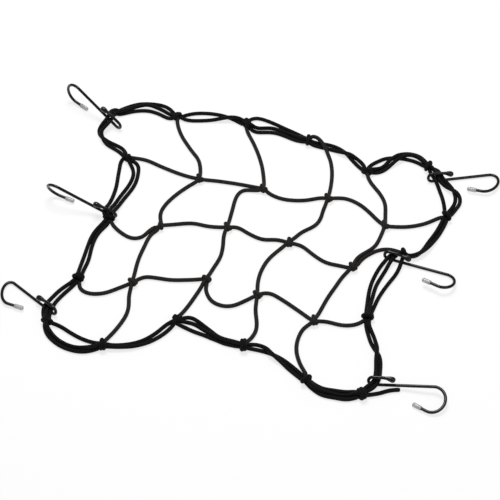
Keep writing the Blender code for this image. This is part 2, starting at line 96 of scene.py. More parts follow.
# Plan place of each knot, heading of its turns' long axis, half that axis, half its height, number of turns
Knot = namedtuple("Knot", "x y turn half rise wraps")
KNOTS = {
    "I11": Knot(-75.9, 67.6, -52, 4.4, 2.4, 1.5),
    "I12": Knot(-4.9, 71.9, -48, 4.4, 2.4, 1.5),
    "I13": Knot(66.3, 77.5, -42, 4.6, 2.4, 1.5),
    "I14": Knot(134.0, 56.6, -55, 4.6, 2.4, 1.5),
    "I21": Knot(-97.3, -7.6, -80, 4.2, 2.4, 1.5),
    "I22": Knot(-27.8, 9.6, -45, 4.6, 2.4, 1.5),
    "I23": Knot(41.3, 6.3, -74, 4.8, 2.4, 1.5),
    "I24": Knot(113.7, -8.2, -42, 4.4, 2.4, 1.5),
    "I31": Knot(-103.1, -88.6, -21, 4.4, 2.4, 1.5),
    "I32": Knot(-29.7, -64.6, -25, 4.2, 2.4, 1.5),
    "I33": Knot(27.0, -70.3, -25, 4.4, 2.4, 1.5),
    "I34": Knot(91.9, -87.0, -65, 5.0, 2.4, 1.5),
    "T1": Knot(-125.2, 148.8, 74, 4.6, 3.0, 1.5),
    "T2": Knot(-46.9, 158.6, -40, 5.4, 3.4, 2),
    "T3": Knot(25.2, 152.6, -75, 5.6, 3.4, 1.2),
    "T4": Knot(98.6, 124.4, 18, 5.0, 3.4, 1.4),
    "T5": Knot(161.4, 150.0, 81, 5.6, 3.4, 1.4),
    "R1": Knot(195.0, 85.0, -31, 5.4, 3.4, 1),
    "R2": Knot(161.4, 23.8, -48, 3.8, 3.2, 1),
    "R3": Knot(144.0, -68.6, 14, 5.2, 3.4, 1.5),
    "B5": Knot(160.0, -164.2, -45, 5.4, 3.4, 2),
    "B4": Knot(102.8, -162.2, 61, 5.4, 3.4, 1),
    "B3": Knot(30.6, -137.4, -66, 5.6, 3.4, 2),
    "B2": Knot(-45.0, -125.4, 88, 5.2, 3.0, 1.6),
    "B1": Knot(-107.8, -174.2, -70, 5.6, 3.4, 1.75),
    "B0": Knot(-171.8, -161.2, 8, 5.2, 2.9, 1.1),
    "L3": Knot(-159.2, -98.4, 0, 5.2, 3.4, 1.75),
    "L2": Knot(-153.4, -12.6, 8, 5.4, 2.8, 1.1),
    "L1": Knot(-161.6, 76.2, -42, 5.2, 3.0, 1.6),
    "A0": Knot(-195.4, 135.6, 40, 5.0, 3.4, 1),
}

# The seven cords of the mesh, from border to border. A name stands for the knot that the cord runs through.
MESH_CORDS = {
    "row_1": [
        "L1", (-154.6, 78.2), (-140, 79.1), (-120, 74.0), (-98, 69.4), "I11", (-60, 70), (-40, 71.8),
        (-20, 72.6), "I12", (6, 66.6), (21.7, 64.2), (41.7, 68.3), (57, 76), "I13", (83.3, 82.9),
        (100, 79.2), (114, 70.6), (123.5, 63), "I14", (145, 58.1), (160, 62.5), (175, 70.9), (187.3, 82),
        "R1"],
    "row_2": [
        "L2", (-147.9, -18.3), (-141.7, -23.3), (-130, -29.4), (-120, -31.2), (-111, -26.4),
        (-106.0, -19.4, 0.9), "I21", (-83.3, -0.8), (-65, 5.8), (-48.3, 6), "I22", (-17, 12.9),
        (-4.2, 7.9), (12.5, 3.75), (28, 7.6), "I23", (55, 6.25), (70, -2.3), (85, -8.9), (100, -9.2),
        "I24", (120.8, 6.7), (128.6, 16.6), (138.3, 24), (148, 26.4), (155.4, 25.6), "R2"],
    "row_3": [
        "L3", (-155.8, -107.2), (-150.8, -112.1), (-140.8, -113.75), (-127, -109), (-114.2, -98.3), "I31",
        (-94, -78), (-81.7, -75.7), (-65, -74.2), (-45.8, -68.75), "I32", (-27.4, -76), (-18.3, -88.75),
        (-6, -92.9), (6, -90), (16, -81), "I33", (38, -63.9), (51.7, -68.2), (68.3, -75.8), (80, -81.6),
        "I34", (104, -84.2), (120.8, -84.6), (133, -80.8), (140.6, -74.4), "R3"],
    "column_1": [
        "T1", (-121.8, 138.6), (-112.2, 123.3), (-96.9, 106.6), (-83, 92), "I11", (-84, 55.8), (-94, 39.6),
        (-101, 23), (-102.6, 9), "I21", (-103.9, -20), (-105.8, -40), (-106.3, -60), "I31",
        (-101.6, -105), (-97.5, -119), (-96.7, -131.7), (-100.8, -150), (-106.2, -165), "B1"],
    "column_2": [
        "T2", (-43.6, 149.0), (-32.8, 134.6), (-20.8, 115.6), (-11.5, 96), "I12", (-16, 67.6), (-26, 64.9),
        (-30.2, 54), (-29.4, 36), "I22", (-28.6, -1), (-25.2, -17), (-24, -31.7), (-27.1, -48.3), "I32",
        (-34.6, -86.7), (-37.9, -100.8), (-42, -115), "B2"],
    "column_3": [
        "T3", (29.6, 159.4, 0.8), (36.6, 155.8, 1.35), (43.0, 149.4, 1.5), (47.6, 144.2, 0.9),
        (52, 138.2), (56.8, 129.6), (61.7, 115), (64.8, 98), "I13", (65.2, 60), (65.4, 48), (61.6, 36.5),
        (50, 23.75), "I23", (34.2, -4), (26, -20), (22.5, -37), (23, -53), "I33", (30, -88.4),
        (35.4, -103.3), (37.7, -115), (35.0, -126.8), "B3"],
    "column_4": [
        "T4", (102.2, 116.8), (108, 110), (120, 98.2), (127.6, 86.6), (131.4, 71), "I14", (133.2, 43),
        (130.6, 27), (124.0, 16.0), (117.0, 7.0), "I24", (107, -22), (102.9, -36.7), (98, -55.4),
        "I34", (83.8, -99), (81.6, -115), (84.2, -129.4), (91.0, -142.4), (98.6, -153.4, 0.4), "B4"],
}

# The cords of the border, from knot to knot. Side is where a cord passes through each end's knot: -1 or 1
# along the knot's long axis, or 0 on top.
Run = namedtuple("Run", "start side_a route end side_b")
BORDER_RUNS = [
    # Top edge
    Run("A0", 1, [(-189.7, 144.1), (-183.3, 150.6), (-170.5, 159.0), (-150, 162.8), (-136.6, 159.2)],
        "T1", -1),
    Run("A0", 0, [(-186.5, 139.9, 0.9), (-176.0, 148.4, 0.8), (-163, 157.4, 0.7), (-145.8, 156.2),
                  (-135.8, 152.2)], "T1", 0.1),
    Run("A0", -1, [(-187, 138.4), (-175.7, 145.7), (-159.8, 150.7), (-145, 148.8), (-134, 145.2)], "T1", 1),
    Run("T1", -1, [(-113, 158.2), (-98, 163.8), (-82, 165.8), (-69, 164.6), (-58, 161.6)], "T2", 1),
    Run("T1", 1, [(-114, 148.4), (-102, 150.8), (-88, 155.4), (-78, 158.6, 0.6), (-69, 161.8, 1.0),
                  (-58, 163.4, 0.7)], "T2", -1),
    Run("T2", -1, [(-44, 170.0), (-35, 172.4), (-20, 169.6), (-4, 164.8), (12, 160.2)], "T3", -1),
    Run("T2", 0, [(-36.6, 156.7), (-27.3, 159.5), (-19, 161.9), (-6, 160.2), (6, 156.2, 0.4),
                  (14, 153.6, 0.8)], "T3", 0),
    Run("T2", 1, [(-36.2, 151.1), (-26.2, 153.3), (-16, 155.8), (-5, 154.9), (8, 151.6), (16, 150.8)],
        "T3", 1),
    Run("T3", -1, [(33, 153.0), (42, 153.9), (52, 153.8), (60, 152.0), (69, 147.6), (76.8, 141.0),
                   (86.3, 132.8)], "T4", 1),
    Run("T3", 1, [(33, 148.6), (46, 148.2), (58, 147.2), (66, 144.8, 0.7), (73, 143.4, 0.9),
                  (80.9, 141.3, 0.4), (90.2, 136.8)], "T4", -1),
    Run("T4", -1, [(99.6, 136), (105.8, 143.6), (114, 151.2), (126, 155.0), (138.3, 155.8),
                   (150, 154.0)], "T5", -1),
    Run("T4", 1, [(107.8, 127.8), (114.6, 132.0), (120.3, 140.7), (124.8, 147.6, 0.8), (129.8, 154.0, 1.0),
                  (137, 160.2, 0.8), (148, 160.8, 0.5)], "T5", 0),
    Run("T4", 0, [(105.8, 129.0, 0.6), (112.3, 135.2), (116.4, 143.0), (119.8, 149.8, 0.7),
                  (125.2, 154.0, 0.9), (132.5, 162.4, 0.2), (142.2, 164.8), (152, 161.8)], "T5", 1),
    # Round the corner and down the right edge
    Run("T5", 1, [(166.2, 141.6, 0.3), (169.4, 137.6, 0.8), (171.2, 133.8, 1.05), (176.2, 127.9, 0.7),
                  (179.8, 121.8), (185.2, 111.8), (190, 100)], "R1", -1),
    Run("T5", 0, [(169.0, 145.8, 0.6), (173.2, 140.0, 1.0), (175.4, 135.4, 1.05), (180.6, 130.0, 0.6),
                  (188.4, 125.4, 0.5), (195, 121.6, 0.9), (202.2, 118.0, 0.4), (205.6, 109), (202.0, 98)],
        "R1", 1),
    Run("T5", -1, [(170.8, 149.6), (176.2, 143.6, 0.7), (179.4, 137.4, 1.05), (185.0, 133.0, 0.6),
                   (191.4, 129.4), (197, 121.8), (200.2, 112), (199.4, 102.6)], "R1", 0),
    Run("R1", -1, [(191.6, 74), (188.2, 60), (183.6, 46), (179.6, 32.4), (172.0, 22.4)], "R2", -1),
    Run("R1", 1, [(195.2, 74), (192.6, 60), (187.9, 45.0, 0.4), (182.2, 32.0, 0.9), (174.6, 23.2, 1.0),
                  (168.6, 20.4, 0.8)], "R2", 1),
    Run("R2", -1, [(154.2, 20.6, 1.0), (148.0, 14.6, 1.0), (146.6, 9.6, 0.9), (143.0, 3.6, 0.2),
                   (139.8, -8), (137.9, -22), (137.9, -34), (139.0, -45), (140.4, -56)], "R3", -1),
    Run("R2", 0, [(155.4, 17.6, 1.0), (152.3, 12.4, 1.0), (150.6, 7.4, 0.8), (148.8, 0), (146.0, -12),
                  (143.4, -24), (142.9, -34), (143.3, -44, 0.4), (143.5, -55, 1.0)], "R3", 0),
    Run("R2", 1, [(162.4, 16.6, 0.95), (162.2, 10.6, 0.95), (161.6, 3.6, 0.2), (159.6, -6), (155.4, -18),
                  (151.6, -30), (148.8, -42), (147.2, -55)], "R3", 1),
    Run("R3", -1, [(145.6, -79.5), (149.4, -88), (154.2, -98), (160.5, -105.8), (166.6, -112.6),
                   (169.8, -122), (171.3, -132), (172.6, -140, 0.8), (172.6, -146.7, 1.1),
                   (170.4, -152.4, 0.6)], "B5", 0),
    Run("R3", 1, [(147.4, -79.9, 0.9), (154.0, -87.8), (158.9, -97.0, 0.3), (163.2, -107.8, 1.0),
                  (164.4, -117.6, 0.3), (166.8, -127), (168.5, -136.6, 0.5), (168.6, -147.6, 1.1),
                  (163.7, -153.5, 0.7)], "B5", -1),
    # Bottom edge, with the loose end of the border cord
    Run("B5", 1, [(168.1, -161.3), (177, -156.9), (185.5, -150.9), (195.6, -147.2)], None, 0),
    Run("B5", -1, [(152.4, -162.2), (143.3, -164.7), (131, -166.0), (121, -166.6), (111, -163.6)], "B4", 1),
    Run("B5", 0, [(152.6, -166.0), (143.2, -169.3), (131, -170.4), (122, -171.0, 0.5), (112, -169.2, 0.8)],
        "B4", 0),
    Run("B5", 1, [(154.9, -168.4), (145.7, -173.0), (133.5, -173.0), (122, -173.6, 0.0), (112, -169.6)],
        "B4", -1),
    Run("B4", 1, [(94, -153.8), (84, -148.0), (74, -143.0), (64, -139.6), (54, -137.4), (42, -137.8)],
        "B3", 1),
    Run("B4", -1, [(92, -158.0), (81, -151.6), (71, -145.2, 0.4), (62, -141.4, 1.0), (53, -135.3, 0.5),
                   (43, -131.4)], "B3", -1),
    Run("B3", -1, [(19, -133.6), (8, -133.8), (-1, -131.6), (-12, -125.2), (-23, -118.8), (-33, -115.8)],
        "B2", 1),
    Run("B3", 0, [(18, -136.6, 0.6), (6, -136.0, 0.7), (-6, -131.4, 0.2), (-16, -126.8), (-28, -122.7)],
        "B2", 0),
    Run("B3", 1, [(20, -138.4), (11, -138.4), (2, -136.0), (-10, -134.0), (-22, -132.7), (-33, -130.1)],
        "B2", -1),
    Run("B2", 1, [(-53, -131.4), (-59.6, -143.6), (-69.4, -156.2), (-82, -165.0), (-96, -170.4)],
        "B1", -1),
    Run("B2", -1, [(-47.4, -134.4), (-54, -146.0), (-63.4, -156.8), (-76, -166.4, 0.3), (-89, -171.6, 0.5),
                   (-99, -174.2, 0.5)], "B1", 1),
    Run("B1", -1, [(-118, -173.0), (-131, -171.4), (-145, -167.0), (-158, -161.8)], "B0", 1),
    Run("B1", 0, [(-116, -180.6, 0.7), (-125.6, -183.6, 0.3), (-137, -183.6), (-150.2, -180.6),
                  (-162.1, -174.5), (-170.2, -167.7, 0.9)], "B0", 0),
    Run("B1", 1, [(-116.2, -181.8), (-126.3, -186.0), (-137, -187.5), (-151, -185.0), (-164, -177.6),
                  (-171.9, -168.1)], "B0", -1),
    # Up the left edge, with the short bight that hook B holds
    Run("B0", 0, [(-175.6, -155.4, 0.9), (-176.3, -149.6, 0.9), (-176.4, -143.4, 1.0),
                  (-175.3, -137.8, 0.5)], None, 0),
    Run("B0", -1, [(-178.8, -152, 0.5), (-179.4, -143.6, 1.05), (-178.0, -135.4, 0.6), (-175.9, -124.4),
                   (-170.7, -113.4), (-164.6, -105)], "L3", -1),
    Run("B0", 1, [(-172.4, -153, 0.5), (-173.4, -146.6, 1.05), (-172.8, -138.6, 0.6), (-169.9, -127.0),
                  (-165.3, -116.6), (-161.2, -108)], "L3", 1),
    Run("L3", -1, [(-162.4, -86), (-162.8, -72), (-163.6, -56), (-164.0, -42), (-162, -30),
                   (-158.9, -22)], "L2", -1),
    Run("L3", 1, [(-157.6, -86), (-156.9, -72), (-159.0, -56), (-159.6, -42), (-157.4, -30),
                  (-153.6, -22)], "L2", 1),
    Run("L2", -1, [(-159.8, -11.0, 1.9), (-159.6, -7.2, 2.2), (-159.4, -2.0, 1.9), (-159.6, 5, 0.5),
                   (-159.2, 17), (-160.0, 33), (-162.8, 48), (-165.2, 62), (-166.4, 69)], "L1", -1),
    Run("L2", 0, [(-154.9, -10.2, 1.6), (-155.0, -6.2, 1.6), (-154.6, 1, 1.1), (-153.8, 8, 0.2),
                  (-152.2, 19), (-149.2, 31), (-146.8, 44), (-147.6, 57), (-153.4, 67)], "L1", 0),
    Run("L2", 1, [(-151.5, -10.6, 1.15), (-151.2, -6.4, 1.15), (-150.2, 0, 0.7), (-149.0, 8, 0.1),
                  (-146.7, 19), (-143.4, 31), (-141.4, 44), (-143.0, 59), (-147.4, 70.6)], "L1", 1),
    Run("L1", -1, [(-170, 87.8), (-180, 91.6), (-191, 94.4), (-200.4, 100.4), (-204.6, 108, 0.3),
                   (-200.0, 115.0, 2.1), (-197.2, 121.8, 2.76), (-197.8, 128.8, 2.3)], "A0", 1),
    Run("L1", 1, [(-171, 82.4), (-181, 86.4), (-190, 90.2), (-197.0, 97.2, 0.8), (-200.4, 105.6, 1.0),
                  (-196.6, 112.8, 1.6), (-193.6, 119.8, 2.2), (-193.2, 127.6, 1.6)], "A0", 0),
]

# X and y are where a hook's shank leaves its eye, heading is the shank's, shank its length and side which
# way the open end turns. Roll is the angle that the open end is turned down about the shank, rise how high
# the shank's far end stands, lag how far the open end is bent back, tilt the angle that the eye leans up
# from the floor and jaw how wide the open end is, wire to wire. Depth is how far it bulges past the shank,
# lean the angle that its leg turns in and back the length of the return leg with its cap.
Hook = namedtuple("Hook", "x y heading shank side roll rise lag tilt jaw depth lean back")
HOOKS = {
    "a": Hook(-187.7, 118.7, 157.0, 59.3, 1, 88.0, 25.8, 2.0, 90, 24.9, 12.0, 20, 25.4),
    "b": Hook(-170.8, -147.8, 153.0, 57.1, 1, -4.0, 0.0, 11.9, 80, 24.0, 10.0, 22, 22.8),
    "c": Hook(168.3, -148.1, 8.6, 60.6, -1, 10.0, 6.2, 1.0, 72, 28.0, 12.8, 27, 22.0),
    "d": Hook(170.1, 132.3, 23.6, 62.4, -1, -7.0, 0.0, 8.3, 72, 25.4, 12.3, 24, 22.8),
    "e": Hook(-152.9, -7.1, 177.0, 63.4, 1, 109.0, 24.3, 2.0, 100, 24.0, 12.0, 20, 22.6),
    "f": Hook(147.6, 13.6, -4.0, 63.9, -1, -17.0, 0.0, 1.4, 76, 24.8, 11.4, 14, 23.6),
}
EYE_R = 4.6                     # bend round the border
RETURN_SAG = 3.5                # how far the return leg bends back to the shank at its end
CAP_LEN = 10.5
LEG_LEN = 10.5                  # bare wire from the open end to the tip
TIP_LEN = 10.2
WIRE_IN = 3.0                   # wire inside a tip or a cap
TIP_START = 0.3                 # how far past the bare wire a tip starts
CAP_START = 0.4                 # how far past the bare wire a cap starts
TIP_RINGS = 24
CAP_RINGS = 28
ARC_STEPS = 18                  # steps round the open end
EYE_STEPS = 12                  # steps round the eye
SHANK_START = 2.0               # where the straight of the shank starts
WIRE_STEP = 1.0                 # distance between rings along the wire
WIRE_SIDES = 16
HOOK_CLEAR = 0.05               # gap between a hook's wire and the floor
HEEL_SHARE = 0.016              # how much of its far end's rise a hook has at its eye

# The view and the light, in metres and degrees but for where the view points, which is in the tables' plan
LOOK_AT = (3.25, -12.0)
VIEW_TURN = 15.3
VIEW_DOWN = 51.0
VIEW_AWAY = 2.0
VIEW_LENS = 135.8
Lamp = namedtuple("Lamp", "name place size power")
LAMPS = [
    Lamp("key", (-0.3, 0.6, 1.8), 0.9, 22.0),
    Lamp("fill", (1.2, -0.6, 1.5), 1.5, 5.0),
]


# ---------------------------------------------------------------- sizes and colours

class CargoNetSettings(bpy.types.PropertyGroup):
    """Sizes and colours of the net."""
    cord_diameter: bpy.props.FloatProperty(
        name="Cord diameter", description="Elastic cord over its sheath", default=0.0044, unit="LENGTH")
    cord_sides: bpy.props.IntProperty(
        name="Cord sides", description="Faces round a cord", default=12, min=6, max=32)
    cord_step: bpy.props.FloatProperty(
        name="Cord step", description="Distance between rings along a cord", default=0.0018, unit="LENGTH")
    braid_carriers: bpy.props.IntProperty(
        name="Braid carriers", description="Strands of the sheath that run each way round", default=8)
    braid_pitch: bpy.props.FloatProperty(
        name="Braid pitch", description="Length of one strand's crossing in the sheath", default=0.0017,
        unit="LENGTH")
    wire_diameter: bpy.props.FloatProperty(
        name="Wire diameter", description="Hook wire with its coating", default=0.0033, unit="LENGTH")
    tip_diameter: bpy.props.FloatProperty(
        name="Tip diameter", description="Clear sleeve on a hook's open end", default=0.0050, unit="LENGTH")
    cap_diameter: bpy.props.FloatProperty(
        name="Cap diameter", description="Dipped cap on a hook's return leg", default=0.0061, unit="LENGTH")
    mesh_colour: bpy.props.FloatVectorProperty(
        name="Mesh cord", description="Sheath of the mesh cords", subtype="COLOR", size=3,
        default=(0.0220, 0.0196, 0.0186))
    border_colour: bpy.props.FloatVectorProperty(
        name="Border cord", description="Sheath of the border cords", subtype="COLOR", size=3,
        default=(0.0040, 0.0044, 0.0054))
    wire_colour: bpy.props.FloatVectorProperty(
        name="Wire", description="Coating of the hooks", subtype="COLOR", size=3,
        default=(0.0016, 0.0017, 0.0021))
    tip_colour: bpy.props.FloatVectorProperty(
        name="Tip", description="Clear sleeves", subtype="COLOR", size=3, default=(0.68, 0.69, 0.70))
    cap_colour: bpy.props.FloatVectorProperty(
        name="Cap", description="Dipped caps", subtype="COLOR", size=3, default=(0.0022, 0.0024, 0.0028))


# ---------------------------------------------------------------- materials

MIX_A, MIX_B, MIX_RESULT = 6, 7, 2      # places of a Mix node's colour sockets


def new_group(name, inputs, outputs):
    """Start a shader node group with float inputs and outputs."""
    group = bpy.data.node_groups.new(name, "ShaderNodeTree")
    for label, value in inputs:
        socket = group.interface.new_socket(label, in_out="INPUT", socket_type="NodeSocketFloat")
        socket.default_value = value
    for label in outputs:
        group.interface.new_socket(label, in_out="OUTPUT", socket_type="NodeSocketFloat")
    return group, group.nodes.new("NodeGroupInput"), group.nodes.new("NodeGroupOutput")


def feed(tree, socket, value):
    """Link a socket, or set a plain number on it."""
    if isinstance(value, bpy.types.NodeSocket):
        tree.links.new(value, socket)
    else:
        socket.default_value = value


def math_node(tree, operation, *values):
    """Add a Math node with its inputs linked or set, and give its output."""
    node = tree.nodes.new("ShaderNodeMath")
    node.operation = operation
    for i, value in enumerate(values):
        feed(tree, node.inputs[i], value)
    return node.outputs[0]


def braid_group():
    """The sheath's braid: strands running both ways round the cord, over and under each other, and a mask of
    the grooves between them for painted shade.
    """
    group, given, put = new_group(
        "braided_sheath", [("Carriers", 8.0), ("Pitch", 1.7)], ["Height", "Groove"])
    uv = group.nodes.new("ShaderNodeUVMap")
    uv.uv_map = "cord"
    split = group.nodes.new("ShaderNodeSeparateXYZ")
    group.links.new(uv.outputs["UV"], split.inputs[0])
    along = math_node(group, "DIVIDE", split.outputs["X"], given.outputs["Pitch"])
    round_it = math_node(group, "MULTIPLY", split.outputs["Y"], given.outputs["Carriers"])
    left = math_node(group, "ADD", round_it, along)
    right = math_node(group, "SUBTRACT", round_it, along)
    ridges = []
    for lay in (left, right):
        wave = math_node(group, "SINE", math_node(group, "MULTIPLY", lay, math.pi))
        ridges.append(math_node(group, "ABSOLUTE", wave))
    cell = math_node(group, "ADD", math_node(group, "FLOOR", left), math_node(group, "FLOOR", right))
    over = math_node(group, "ABSOLUTE", math_node(group, "MODULO", cell, 2.0))
    swap = group.nodes.new("ShaderNodeMix")
    feed(group, swap.inputs["Factor"], over)
    feed(group, swap.inputs["A"], ridges[0])
    feed(group, swap.inputs["B"], ridges[1])
    height = swap.outputs["Result"]
    group.links.new(height, put.inputs["Height"])
    # Groove Shade is a mask of the grooves between the strands, used to paint shade into the colour
    group.links.new(math_node(group, "POWER", math_node(group, "SUBTRACT", 1.0, height), 2.0),
                    put.inputs["Groove"])
    return group


def rub_group():
    """Uneven handling: broad patches where a surface is rubbed smoother, and fine dust."""
    group, given, put = new_group(
        "rub_and_dust", [("Patch Scale", 60.0), ("Dust Scale", 900.0), ("Amount", 0.5)], ["Rub", "Dust"])
    place = group.nodes.new("ShaderNodeTexCoord")
    for label, scale, low, high in (("Rub", "Patch Scale", 0.35, 0.65), ("Dust", "Dust Scale", 0.58, 0.75)):
        noise = group.nodes.new("ShaderNodeTexNoise")
        noise.inputs["Detail"].default_value = 3.0
        group.links.new(place.outputs["Object"], noise.inputs["Vector"])
        group.links.new(given.outputs[scale], noise.inputs["Scale"])
        ramp = group.nodes.new("ShaderNodeMapRange")
        ramp.inputs["From Min"].default_value = low
        ramp.inputs["From Max"].default_value = high
        group.links.new(noise.outputs["Fac"], ramp.inputs["Value"])
        group.links.new(math_node(group, "MULTIPLY", ramp.outputs["Result"], given.outputs["Amount"]),
                        put.inputs[label])
    return group


def start_material(name):
    """Make a material and give it, its node tree and its Principled shader."""
    made = bpy.data.materials.new(name)
    made.use_nodes = True
    return made, made.node_tree, made.node_tree.nodes["Principled BSDF"]


def place_group(tree, name, **values):
    """Place a shader node group in a material with its own values."""
    node = tree.nodes.new("ShaderNodeGroup")
    node.node_tree = bpy.data.node_groups[name]
    for label, value in values.items():
        node.inputs[label.replace("_", " ")].default_value = value
    return node


def mixed_colour(tree, factor, first, second):
    """Mix two colours by a mask and give the colour's socket."""
    mix = tree.nodes.new("ShaderNodeMix")
    mix.data_type = "RGBA"
    feed(tree, mix.inputs[0], factor)
    for place, colour in ((MIX_A, first), (MIX_B, second)):
        feed(tree, mix.inputs[place], colour if isinstance(colour, bpy.types.NodeSocket) else (*colour, 1))
    return mix.outputs[MIX_RESULT]


def add_bump(tree, shader, height, strength, distance):
    """Give a shader a relief."""
    bump = tree.nodes.new("ShaderNodeBump")
    bump.inputs["Strength"].default_value = strength
    bump.inputs["Distance"].default_value = distance
    tree.links.new(height, bump.inputs["Height"])
    tree.links.new(bump.outputs["Normal"], shader.inputs["Normal"])


def cord_material(name, colour, settings):
    """Braided sheath: matt black yarn with a dull sheen on its ridges, and painted shade in the grooves
    between them.
    """
    made, tree, shader = start_material(name)
    braid = place_group(tree, "braided_sheath", Carriers=float(settings.braid_carriers),
                        Pitch=settings.braid_pitch / MM)
    rub = place_group(tree, "rub_and_dust", Patch_Scale=45.0, Dust_Scale=1500.0, Amount=0.35)
    lit = tuple(c * 1.5 for c in colour)
    groove_shade = tuple(c * 0.35 for c in colour)
    dusty = tuple(c * 1.6 + 0.004 for c in colour)
    worn = mixed_colour(tree, rub.outputs["Rub"], colour, lit)
    # Painted shade: in the braid's grooves, where shade falls, the colour is mixed down to about a third as
    # bright
    base = mixed_colour(tree, braid.outputs["Groove"], worn, groove_shade)
    feed(tree, shader.inputs["Base Color"], mixed_colour(tree, rub.outputs["Dust"], base, dusty))
    feed(tree, shader.inputs["Roughness"],
         math_node(tree, "SUBTRACT", 0.66, math_node(tree, "MULTIPLY", rub.outputs["Rub"], 0.25)))
    shader.inputs["Specular IOR Level"].default_value = 0.12
    shader.inputs["Sheen Weight"].default_value = 0.02
    shader.inputs["Sheen Roughness"].default_value = 0.4
    add_bump(tree, shader, braid.outputs["Height"], 0.7, 0.00022)
    return made


def coated_material(name, colour, roughness, coat, ripple):
    """Dipped or coated black finish: glossy, with faint ripples and fine dust."""
    made, tree, shader = start_material(name)
    rub = place_group(tree, "rub_and_dust", Patch_Scale=180.0, Dust_Scale=2200.0, Amount=0.5)
    dusty = tuple(c + 0.006 for c in colour)
    feed(tree, shader.inputs["Base Color"], mixed_colour(tree, rub.outputs["Dust"], colour, dusty))
    feed(tree, shader.inputs["Roughness"],
         math_node(tree, "ADD", roughness, math_node(tree, "MULTIPLY", rub.outputs["Rub"], 0.18)))
    shader.inputs["Specular IOR Level"].default_value = 0.3
    shader.inputs["Coat Weight"].default_value = coat
    shader.inputs["Coat Roughness"].default_value = 0.08
    add_bump(tree, shader, rub.outputs["Rub"], ripple, 0.0002)
    return made


def tip_material(name, colour):
    """Clear sleeve over bright wire: silver grey, half see-through, with a soft gloss."""
    made, tree, shader = start_material(name)
    rub = place_group(tree, "rub_and_dust", Patch_Scale=240.0, Dust_Scale=2600.0, Amount=0.6)
    shade = tuple(c * 0.72 for c in colour)
    feed(tree, shader.inputs["Base Color"], mixed_colour(tree, rub.outputs["Rub"], colour, shade))
    feed(tree, shader.inputs["Roughness"],
         math_node(tree, "ADD", 0.24, math_node(tree, "MULTIPLY", rub.outputs["Dust"], 0.2)))
    shader.inputs["Transmission Weight"].default_value = 0.25
    shader.inputs["IOR"].default_value = 1.45
    shader.inputs["Coat Weight"].default_value = 0.4
    return made


def floor_material():
    """Plain pale floor."""
    made, tree, shader = start_material("pale_floor")
    shader.inputs["Base Color"].default_value = (0.3, 0.3, 0.3, 1)
    shader.inputs["Roughness"].default_value = 0.8
    shader.inputs["Specular IOR Level"].default_value = 0.0
    shader.inputs["Emission Color"].default_value = (1, 1, 1, 1)
    shader.inputs["Emission Strength"].default_value = 0.75
    return made


# ---------------------------------------------------------------- routes

def plan(point):
    """Turn the tables' plan millimetres into millimetres from the net's origin."""
    return np.array([point[0] - ORIGIN[0], point[1] - ORIGIN[1]])


def with_ends(points):
    """Points with one more before and one after them, for a curve through them all."""
    return np.vstack([2 * points[0] - points[1], points, 2 * points[-1] - points[-2]])


def on_curve(four, t):
    """A place on a curve through four points, a share t of the way from the second to the third."""
    before, start, end, after = four
    return 0.5 * (2 * start + (end - before) * t
                  + (2 * before - 5 * start + 4 * end - after) * t ** 2
                  + (3 * start - before - 3 * end + after) * t ** 3)


def run_along(line):
    """How far along a line each of its points lies."""
    return np.concatenate([[0], np.cumsum(np.linalg.norm(np.diff(line, axis=0), axis=1))])


def eased(t):
    """A share that starts and ends gently."""
    return t * t * (3 - 2 * t)


def stop_of(point, side=None, lift=0.0):
    """A stop on a route: its plan place, its height over the floor, and the knot's lift there."""
    if not isinstance(point, str):
        return plan(point), (point[2] if len(point) > 2 else 0.0) * LAYER, 0.0
    knot = KNOTS[point]
    turn = math.radians(knot.turn)
    across = 0.0 if side is None else side * KNOT_SLOT
    place = plan((knot.x + across * math.cos(turn), knot.y + across * math.sin(turn)))
    if side is not None:
        lift = 2 * knot.rise - TOP_DROP if side == 0 else SIDE_LIFT
    return place, 0.0, lift


def smooth_route(stops, step):
    """Sample the curve through the stops evenly: a spline in plan, and layers and lifts over it."""
    flat = np.array([stop[0] for stop in stops])
    padded = with_ends(flat)
    fine, mark = [flat[0]], [0.0]
    for i in range(len(flat) - 1):
        for k in range(1, CURVE_PIECES + 1):
            fine.append(on_curve(padded[i:i + 4], k / CURVE_PIECES))
            mark.append(i + k / CURVE_PIECES)
    fine = np.array(fine)
    run = run_along(fine)
    count = max(3, int(round(run[-1] / step)) + 1)
    even = np.linspace(0, run[-1], count)
    line = np.stack([np.interp(even, run, fine[:, 0]), np.interp(even, run, fine[:, 1])], 1)
    stop_run = np.interp(np.arange(len(flat)), mark, run)
    height = np.full(count, FLOOR_Z)
    for low, high, a, b in zip(stop_run, stop_run[1:], stops, stops[1:]):
        part = (even >= low) & (even <= high)
        t = (even[part] - low) / max(high - low, TINY)
        height[part] = FLOOR_Z + a[1] + (b[1] - a[1]) * eased(t)
    for where, stop in zip(stop_run, stops):
        if stop[2]:
            height += stop[2] * np.exp(-((even - where) / KNOT_FADE) ** 2)
    return np.column_stack([line, height])


def even_out(line, free):
    """Draw each inner point of a line towards the middle of its neighbours, as far as it is free."""
    middle = (line[:-2] + line[2:]) / 2
    line[1:-1] += (middle - line[1:-1]) * EVEN_SHARE * free[1:-1, None]


